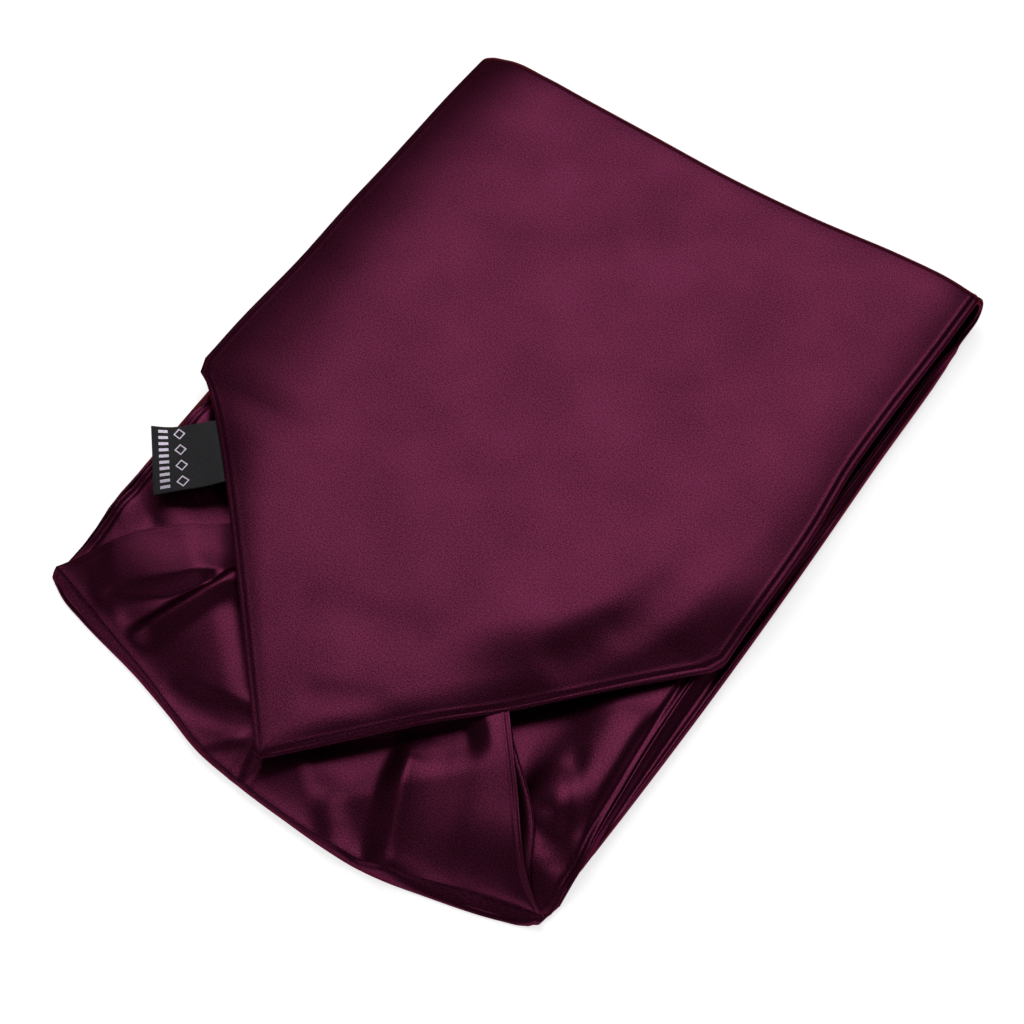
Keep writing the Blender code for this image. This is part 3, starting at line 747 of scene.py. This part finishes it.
ZIGZAG_COLUMNS = 24
strip = zigzag(HIDDEN_LAYERS, HIDDEN_NEAR, HIDDEN_FAR, HIDDEN_BOTTOM, HIDDEN_TOP, HIDDEN_WALL)
hidden_points = np.array([
    [
        (
            HIDDEN_LEFT + (HIDDEN_RIGHT - HIDDEN_LEFT) * k / ZIGZAG_COLUMNS
            + undulation(y, z * 12, 30 * MM, 1.4 * MM) * (2 * k / ZIGZAG_COLUMNS - 1),
            y,
            z,
        )
        for k in range(ZIGZAG_COLUMNS + 1)
    ]
    for y, z in strip
])
hidden, hidden_length = sheet_from_grid("folded_away_cloth", hidden_points, HIDDEN_WALL, False)
hidden.modifiers["wall"].offset = 0.0
rounded = hidden.modifiers.new("rounded edges", "BEVEL")
rounded.width = 0.45 * MM
rounded.segments = 3
rounded.limit_method = "ANGLE"
rounded.angle_limit = math.radians(50)
print("folded-away cloth:", round(hidden_length / MM), "mm of strip")

# %% [markdown]
# ## The woven tab
# A black tape, cut and sealed, is caught in the seam of the point. It is stiff, so it stands out almost
# flat, with one corner curled up. It carries rows of plain woven marks.

# %% Tab
LABEL_ALONG, LABEL_OUT = 19.5 * MM, 17.5 * MM
LABEL_PLACE = 0.215
LABEL_BELOW = 0.7 * MM
LABEL_DROOP, LABEL_BOW, LABEL_LIFT = 2.4 * MM, -0.35 * MM, 3.0 * MM
LABEL_SKEW = 1.1 * MM  # the free end is pulled along the edge, away from the tip
LABEL_WALL = 0.5 * MM
LABEL_COLUMNS, LABEL_ROWS = 40, 36
LABEL_WAVE = 0.25 * MM
LABEL_TUCK = 1.6 * MM  # how far it goes into the seam

root_y = SHOULDER_Y + (TIP_Y - SHOULDER_Y) * LABEL_PLACE
label_upper = Vector(front_top(-1.0, root_y + LABEL_ALONG / 3, 0.0))
label_lower = Vector(front_top(-1.0, root_y - LABEL_ALONG / 3, 0.0))
label_root = (label_upper + label_lower) / 2
label_along = (label_upper - label_lower).normalized()
label_outward = Vector((0.0, 0.0, 1.0)).cross(label_along).normalized()


def label_point(across, share):
    """A point on the top of the tab: across from -1 to 1, share from the seam at 0 to the free end at 1."""
    share_out = max(share, 0.0)
    point = label_root + label_along * (across * LABEL_ALONG / 2)
    point += label_outward * (2 * SEAM_GAP + (LABEL_OUT - 2.0 * MM * (across + 1) / 2) * share)
    point += label_along * LABEL_SKEW * share_out**2
    point.z += LABEL_BOW * math.sin(math.pi * share_out) - LABEL_BELOW - LABEL_DROOP * share_out**1.5
    point.z += LABEL_LIFT * share_out**2 * (across + 1) / 2
    point.z += LABEL_WAVE * math.sin(2.2 * math.pi * share_out) * across
    return point


tuck = LABEL_TUCK / LABEL_OUT
label_grid = np.array([
    [label_point(-1 + 2 * i / LABEL_COLUMNS, -tuck + (1 + tuck) * j / LABEL_ROWS) for i in range(LABEL_COLUMNS + 1)]
    for j in range(LABEL_ROWS + 1)
])
label, _ = sheet_from_grid("woven_tab", label_grid, LABEL_WALL, False)
label_edge = label.modifiers.new("soft edges", "BEVEL")
label_edge.width = 0.12 * MM
label_edge.segments = 2
label_edge.limit_method = "ANGLE"
label_edge.angle_limit = math.radians(50)
print("tab stands out", round(LABEL_OUT / MM, 1), "mm from the seam")

# %% [markdown]
# ## Woven marks on the tab
# Pale thread floats over the black tape in two rows: dashes, and small lozenges. They are thin pads laid
# on the tab's own surface, each a few faces, joined into one mesh.

# %% Marks
MARK_LIFT = 0.06 * MM
MARK_WALL = 0.10 * MM
DASHES = 10
DASH_WIDE, DASH_LONG = 0.85 * MM, 2.6 * MM
DASH_ROW_AT = 0.82  # share of the way to the free end
LOZENGES = 4
LOZENGE_HALF = 1.7 * MM
LOZENGE_THREAD = 0.45 * MM
LOZENGE_ROW_AT = 0.56
MARK_ROWS_FROM, MARK_ROWS_TO = -0.84, 0.84


def add_mark(shape, middle, half_across, half_out, corners):
    """A thin pad on the tab: a small disc of a few corners, bent onto the tab's surface."""
    made = bmesh.ops.create_circle(shape, cap_ends=True, segments=corners, radius=1.0)
    spin = math.pi / 4 if corners == 4 and half_across != half_out else 0.0
    scale = math.sqrt(2) if spin else 1.0
    for vert in made["verts"]:
        turned = Matrix.Rotation(spin, 3, "Z") @ vert.co
        across = middle[0] + turned.x * scale * half_across / (LABEL_ALONG / 2)
        share = middle[1] + turned.y * scale * half_out / LABEL_OUT
        vert.co = label_point(across, share) + Vector((0.0, 0.0, MARK_LIFT))


marks_shape = bmesh.new()
for k in range(DASHES):
    across = MARK_ROWS_FROM + (MARK_ROWS_TO - MARK_ROWS_FROM) * k / (DASHES - 1)
    add_mark(marks_shape, (across, DASH_ROW_AT), DASH_WIDE / 2, DASH_LONG / 2, 4)
lozenges_from = len(marks_shape.faces)
for k in range(LOZENGES):
    across = MARK_ROWS_FROM + 0.1 + (MARK_ROWS_TO - MARK_ROWS_FROM - 0.2) * k / (LOZENGES - 1)
    add_mark(marks_shape, (across, LOZENGE_ROW_AT), LOZENGE_HALF, LOZENGE_HALF, 4)
marks_shape.faces.ensure_lookup_table()
middles = list(marks_shape.faces)[lozenges_from:]
bmesh.ops.inset_individual(marks_shape, faces=middles, thickness=LOZENGE_THREAD)
bmesh.ops.delete(marks_shape, geom=middles, context="FACES_ONLY")
marks_mesh = bpy.data.meshes.new("woven_marks")
bmesh.ops.recalc_face_normals(marks_shape, faces=marks_shape.faces)
marks_shape.normal_update()
for mark in list(marks_shape.faces):
    if mark.normal.z < 0:
        bmesh.ops.reverse_faces(marks_shape, faces=[mark])
marks_shape.to_mesh(marks_mesh)
marks_shape.free()
marks = bpy.data.objects.new("woven_marks", marks_mesh)
bpy.context.scene.collection.objects.link(marks)
marks_thick = marks.modifiers.new("wall", "SOLIDIFY")
marks_thick.thickness = MARK_WALL
marks_thick.offset = 1.0
print(DASHES, "dashes and", LOZENGES, "lozenges on the tab")

# %% [markdown]
# ## Satin
# Satin is woven so that long threads float on its surface. They lie side by side and shine in the colour
# of the dye, so highlights are plum and not white, and folds go almost black where they turn from the
# light. A base that is partly metallic gives that coloured shine. Fine slanting lines of the weave and a
# grain of thread ends are a shared node group, which reads the cloth's own UV map in metres.

# %% Weave group
def weave_group():
    group = bpy.data.node_groups.new("satin_weave", "ShaderNodeTree")
    face_in = group.interface.new_socket
    for name, kind, value in (
        ("Cloth", "NodeSocketVector", None),
        ("Line Pitch", "NodeSocketFloat", 0.00062),
        ("Line Angle", "NodeSocketFloat", math.radians(38)),
        ("Grain Size", "NodeSocketFloat", 0.00038),
    ):
        made = face_in(name=name, in_out="INPUT", socket_type=kind)
        if value is not None:
            made.default_value = value
    face_in(name="Height", in_out="OUTPUT", socket_type="NodeSocketFloat")
    face_in(name="Grain", in_out="OUTPUT", socket_type="NodeSocketFloat")
    face_in(name="Cloud", in_out="OUTPUT", socket_type="NodeSocketFloat")
    nodes, links = group.nodes, group.links
    source = nodes.new("NodeGroupInput")
    out = nodes.new("NodeGroupOutput")
    turned = nodes.new("ShaderNodeVectorRotate")
    turned.rotation_type = "Z_AXIS"
    links.new(source.outputs["Cloth"], turned.inputs["Vector"])
    links.new(source.outputs["Line Angle"], turned.inputs["Angle"])
    parts = nodes.new("ShaderNodeSeparateXYZ")
    links.new(turned.outputs["Vector"], parts.inputs["Vector"])
    per_pitch = nodes.new("ShaderNodeMath")
    per_pitch.operation = "DIVIDE"
    links.new(parts.outputs["X"], per_pitch.inputs[0])
    links.new(source.outputs["Line Pitch"], per_pitch.inputs[1])
    round_line = nodes.new("ShaderNodeMath")
    round_line.operation = "MULTIPLY"
    round_line.inputs[1].default_value = 2 * math.pi
    links.new(per_pitch.outputs["Value"], round_line.inputs[0])
    lines = nodes.new("ShaderNodeMath")
    lines.operation = "SINE"
    links.new(round_line.outputs["Value"], lines.inputs[0])
    per_grain = nodes.new("ShaderNodeVectorMath")
    per_grain.operation = "DIVIDE"
    links.new(source.outputs["Cloth"], per_grain.inputs[0])
    links.new(source.outputs["Grain Size"], per_grain.inputs[1])
    grain = nodes.new("ShaderNodeTexNoise")
    grain.inputs["Scale"].default_value = 1.0
    grain.inputs["Detail"].default_value = 1.5
    links.new(per_grain.outputs["Vector"], grain.inputs["Vector"])
    cloud = nodes.new("ShaderNodeTexNoise")
    cloud.inputs["Scale"].default_value = 45.0
    cloud.inputs["Detail"].default_value = 2.0
    links.new(source.outputs["Cloth"], cloud.inputs["Vector"])
    height = nodes.new("ShaderNodeMath")
    height.operation = "MULTIPLY_ADD"
    height.inputs[1].default_value = 0.10
    links.new(lines.outputs["Value"], height.inputs[0])
    links.new(grain.outputs["Fac"], height.inputs[2])
    links.new(height.outputs["Value"], out.inputs["Height"])
    links.new(grain.outputs["Fac"], out.inputs["Grain"])
    links.new(cloud.outputs["Fac"], out.inputs["Cloud"])
    return group


satin_weave = weave_group()
print("weave group has", len(satin_weave.nodes), "nodes")


# %% Satin material
def satin_material(name, dark, light, metallic, roughness, bump_height):
    """Plum satin: its colour drifts a little with the grain and in soft clouds."""
    made = bpy.data.materials.new(name)
    made.use_nodes = True
    nodes, links = made.node_tree.nodes, made.node_tree.links
    shader = nodes["Principled BSDF"]
    cloth = nodes.new("ShaderNodeUVMap")
    cloth.uv_map = "cloth"
    weave = nodes.new("ShaderNodeGroup")
    weave.node_tree = satin_weave
    links.new(cloth.outputs["UV"], weave.inputs["Cloth"])
    mixed = nodes.new("ShaderNodeMath")
    mixed.operation = "MULTIPLY_ADD"
    mixed.inputs[1].default_value = 0.8
    links.new(weave.outputs["Grain"], mixed.inputs[0])
    cloud_part = nodes.new("ShaderNodeMath")
    cloud_part.operation = "MULTIPLY"
    cloud_part.inputs[1].default_value = 0.2
    links.new(weave.outputs["Cloud"], cloud_part.inputs[0])
    links.new(cloud_part.outputs["Value"], mixed.inputs[2])
    ramp = nodes.new("ShaderNodeValToRGB")
    ramp.color_ramp.elements[0].position = 0.36
    ramp.color_ramp.elements[0].color = (*dark, 1.0)
    ramp.color_ramp.elements[1].position = 0.64
    ramp.color_ramp.elements[1].color = (*light, 1.0)
    links.new(mixed.outputs["Value"], ramp.inputs["Fac"])
    links.new(ramp.outputs["Color"], shader.inputs["Base Color"])
    raised_threads = nodes.new("ShaderNodeBump")
    raised_threads.inputs["Strength"].default_value = 1.0
    raised_threads.inputs["Distance"].default_value = bump_height
    links.new(weave.outputs["Height"], raised_threads.inputs["Height"])
    links.new(raised_threads.outputs["Normal"], shader.inputs["Normal"])
    shader.inputs["Metallic"].default_value = metallic
    shader.inputs["Roughness"].default_value = roughness
    shader.inputs["Specular Tint"].default_value = (0.55, 0.18, 0.30, 1.0)
    return made


satin = satin_material("plum_satin", (0.040, 0.0052, 0.0160), (0.116, 0.0166, 0.0480), 0.93, 0.36, 0.021 * MM)
for cloth_piece in (face, backing, hidden):
    cloth_piece.data.materials.append(satin)

# %% [markdown]
# ## Tape and thread
# The tape is matt, with fine ribs across it. The marks are pale lilac rayon, which has some shine.

# %% Tape and thread materials
def tape_material(name, dark, light, rib_pitch, bump_height, roughness, metallic):
    made = bpy.data.materials.new(name)
    made.use_nodes = True
    nodes, links = made.node_tree.nodes, made.node_tree.links
    shader = nodes["Principled BSDF"]
    cloth = nodes.new("ShaderNodeTexCoord")
    weave = nodes.new("ShaderNodeGroup")
    weave.node_tree = satin_weave
    weave.inputs["Line Pitch"].default_value = rib_pitch
    weave.inputs["Line Angle"].default_value = math.radians(45)
    weave.inputs["Grain Size"].default_value = 0.0003
    links.new(cloth.outputs["Object"], weave.inputs["Cloth"])
    ramp = nodes.new("ShaderNodeValToRGB")
    ramp.color_ramp.elements[0].position = 0.3
    ramp.color_ramp.elements[0].color = (*dark, 1.0)
    ramp.color_ramp.elements[1].position = 0.7
    ramp.color_ramp.elements[1].color = (*light, 1.0)
    links.new(weave.outputs["Grain"], ramp.inputs["Fac"])
    links.new(ramp.outputs["Color"], shader.inputs["Base Color"])
    ribs = nodes.new("ShaderNodeBump")
    ribs.inputs["Strength"].default_value = 1.0
    ribs.inputs["Distance"].default_value = bump_height
    links.new(weave.outputs["Height"], ribs.inputs["Height"])
    links.new(ribs.outputs["Normal"], shader.inputs["Normal"])
    shader.inputs["Roughness"].default_value = roughness
    shader.inputs["Metallic"].default_value = metallic
    return made


tape = tape_material("black_woven_tape", (0.008, 0.007, 0.009), (0.022, 0.019, 0.024), 0.0005, 0.03 * MM, 0.72, 0.0)
thread = tape_material("lilac_thread", (0.72, 0.62, 0.80), (0.95, 0.88, 1.00), 0.0004, 0.03 * MM, 0.55, 0.75)
label.data.materials.append(tape)
marks.data.materials.append(thread)

# %% [markdown]
# ## Floor and light
# A cravat is photographed on white with soft boxes. The large one stands behind it, where the satin
# mirrors it to the camera, so flat cloth glows and what tilts away goes dark. The floor could be lit
# white by more lamps, but they would shine in the folds too, so it is a table that glows a little.

# %% Floor
FLOOR_HALF = 3.0
FLOOR_GAP = 0.1 * MM
floor_shape = bmesh.new()
under_cloth = Matrix.Translation((0.0, 0.0, -FLOOR_GAP))
bmesh.ops.create_grid(floor_shape, x_segments=1, y_segments=1, size=FLOOR_HALF, matrix=under_cloth)
floor_mesh = bpy.data.meshes.new("floor")
floor_shape.to_mesh(floor_mesh)
floor_shape.free()
floor = bpy.data.objects.new("floor", floor_mesh)
bpy.context.scene.collection.objects.link(floor)
floor_material = bpy.data.materials.new("pale_floor")
floor_material.use_nodes = True
floor_shader = floor_material.node_tree.nodes["Principled BSDF"]
floor_shader.inputs["Base Color"].default_value = (0.86, 0.86, 0.86, 1.0)
floor_shader.inputs["Roughness"].default_value = 0.9
floor_shader.inputs["Emission Color"].default_value = (1.0, 1.0, 1.0, 1.0)
floor_shader.inputs["Emission Strength"].default_value = 0.72
floor_mesh.materials.append(floor_material)


# %% Lights
def soft_box(name, azimuth, elevation, distance, size, watts):
    """A square light aimed at the middle of the cravat. Azimuth is measured as the camera's is."""
    a, e = math.radians(azimuth), math.radians(elevation)
    away = Vector((math.sin(a) * math.cos(e), -math.cos(a) * math.cos(e), math.sin(e)))
    data = bpy.data.lights.new(name, "AREA")
    data.shape = "SQUARE"
    data.size = size
    data.energy = watts
    lamp = bpy.data.objects.new(name, data)
    lamp.location = away * distance
    lamp.rotation_euler = away.to_track_quat("Z", "Y").to_euler()
    bpy.context.scene.collection.objects.link(lamp)
    return lamp


soft_box("back_box", 206.0, 56.0, 1.5, 1.15, 9.1)
soft_box("right_box", 90.0, 20.0, 1.6, 0.8, 1.3)
soft_box("left_box", 322.0, 32.0, 1.6, 1.0, 2.2)
soft_box("front_box", 34.0, 50.0, 1.6, 0.9, 1.0)
world = bpy.data.worlds.new("studio")
world.use_nodes = True
world.node_tree.nodes["Background"].inputs["Color"].default_value = (1.0, 1.0, 1.0, 1.0)
world.node_tree.nodes["Background"].inputs["Strength"].default_value = 0.05
bpy.context.scene.world = world
bpy.context.scene.view_settings.view_transform = "Standard"

# %% [markdown]
# ## Fitting the cloth to the model
# Each piece rides on the model's one body and stands for the solids that it dresses, which are hidden.
# The half width at the neck and the size of the fan's cut corners are worked out.

# %% Fitting
for cloth_piece in (face, backing, hidden, label, marks):
    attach(cloth_piece, "root")
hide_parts("front_face", "under_face", "fan_face")
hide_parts("front_back", "under_back", "fan_back")
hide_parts("hidden_layers")
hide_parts("care_label")
NECK_HALF_WIDTH = (fan_reads[2](1.0) - fan_reads[0](1.0)) / 2
fan_corners = (HALF_WIDTH - NECK_HALF_WIDTH) * (NECK_Y - near_crest(0.0))
